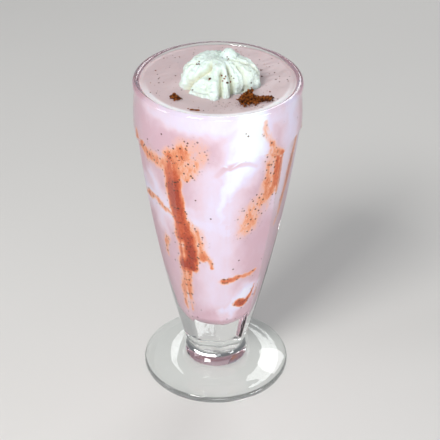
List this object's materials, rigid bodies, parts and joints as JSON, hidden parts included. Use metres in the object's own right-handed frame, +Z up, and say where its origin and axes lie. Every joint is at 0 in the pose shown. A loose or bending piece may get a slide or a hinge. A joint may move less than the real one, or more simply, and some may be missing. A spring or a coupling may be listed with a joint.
{
  "type": "strawberry milkshake",
  "caption": "Strawberry milkshake filled to the lip of a tall panelled glass on a domed foot, topped with whipped cream and red crumbs.",
  "frame": {"origin": "middle of the face that the foot stands on", "axes": "+Z up along the glass, -Y towards the front of the cream"},
  "size_m": [0.0934, 0.0934, 0.2142],
  "materials": {
    "clear_glass": "clear pressed soda glass, polished",
    "milkshake": "smooth pale pink milk drink with orange-red syrup streaks along the glass",
    "whipped_cream": "soft whipped cream with a faint moist sheen",
    "strawberry_crumbs": "dark red dried crumbs, slightly moist"
  },
  "bodies": {
    "root": {"glass": "clear_glass", "milkshake": "milkshake", "whipped_cream": "whipped_cream", "crumb_heap_right": "strawberry_crumbs", "crumb_heap_left": "strawberry_crumbs"}
  },
  "joints": []
}
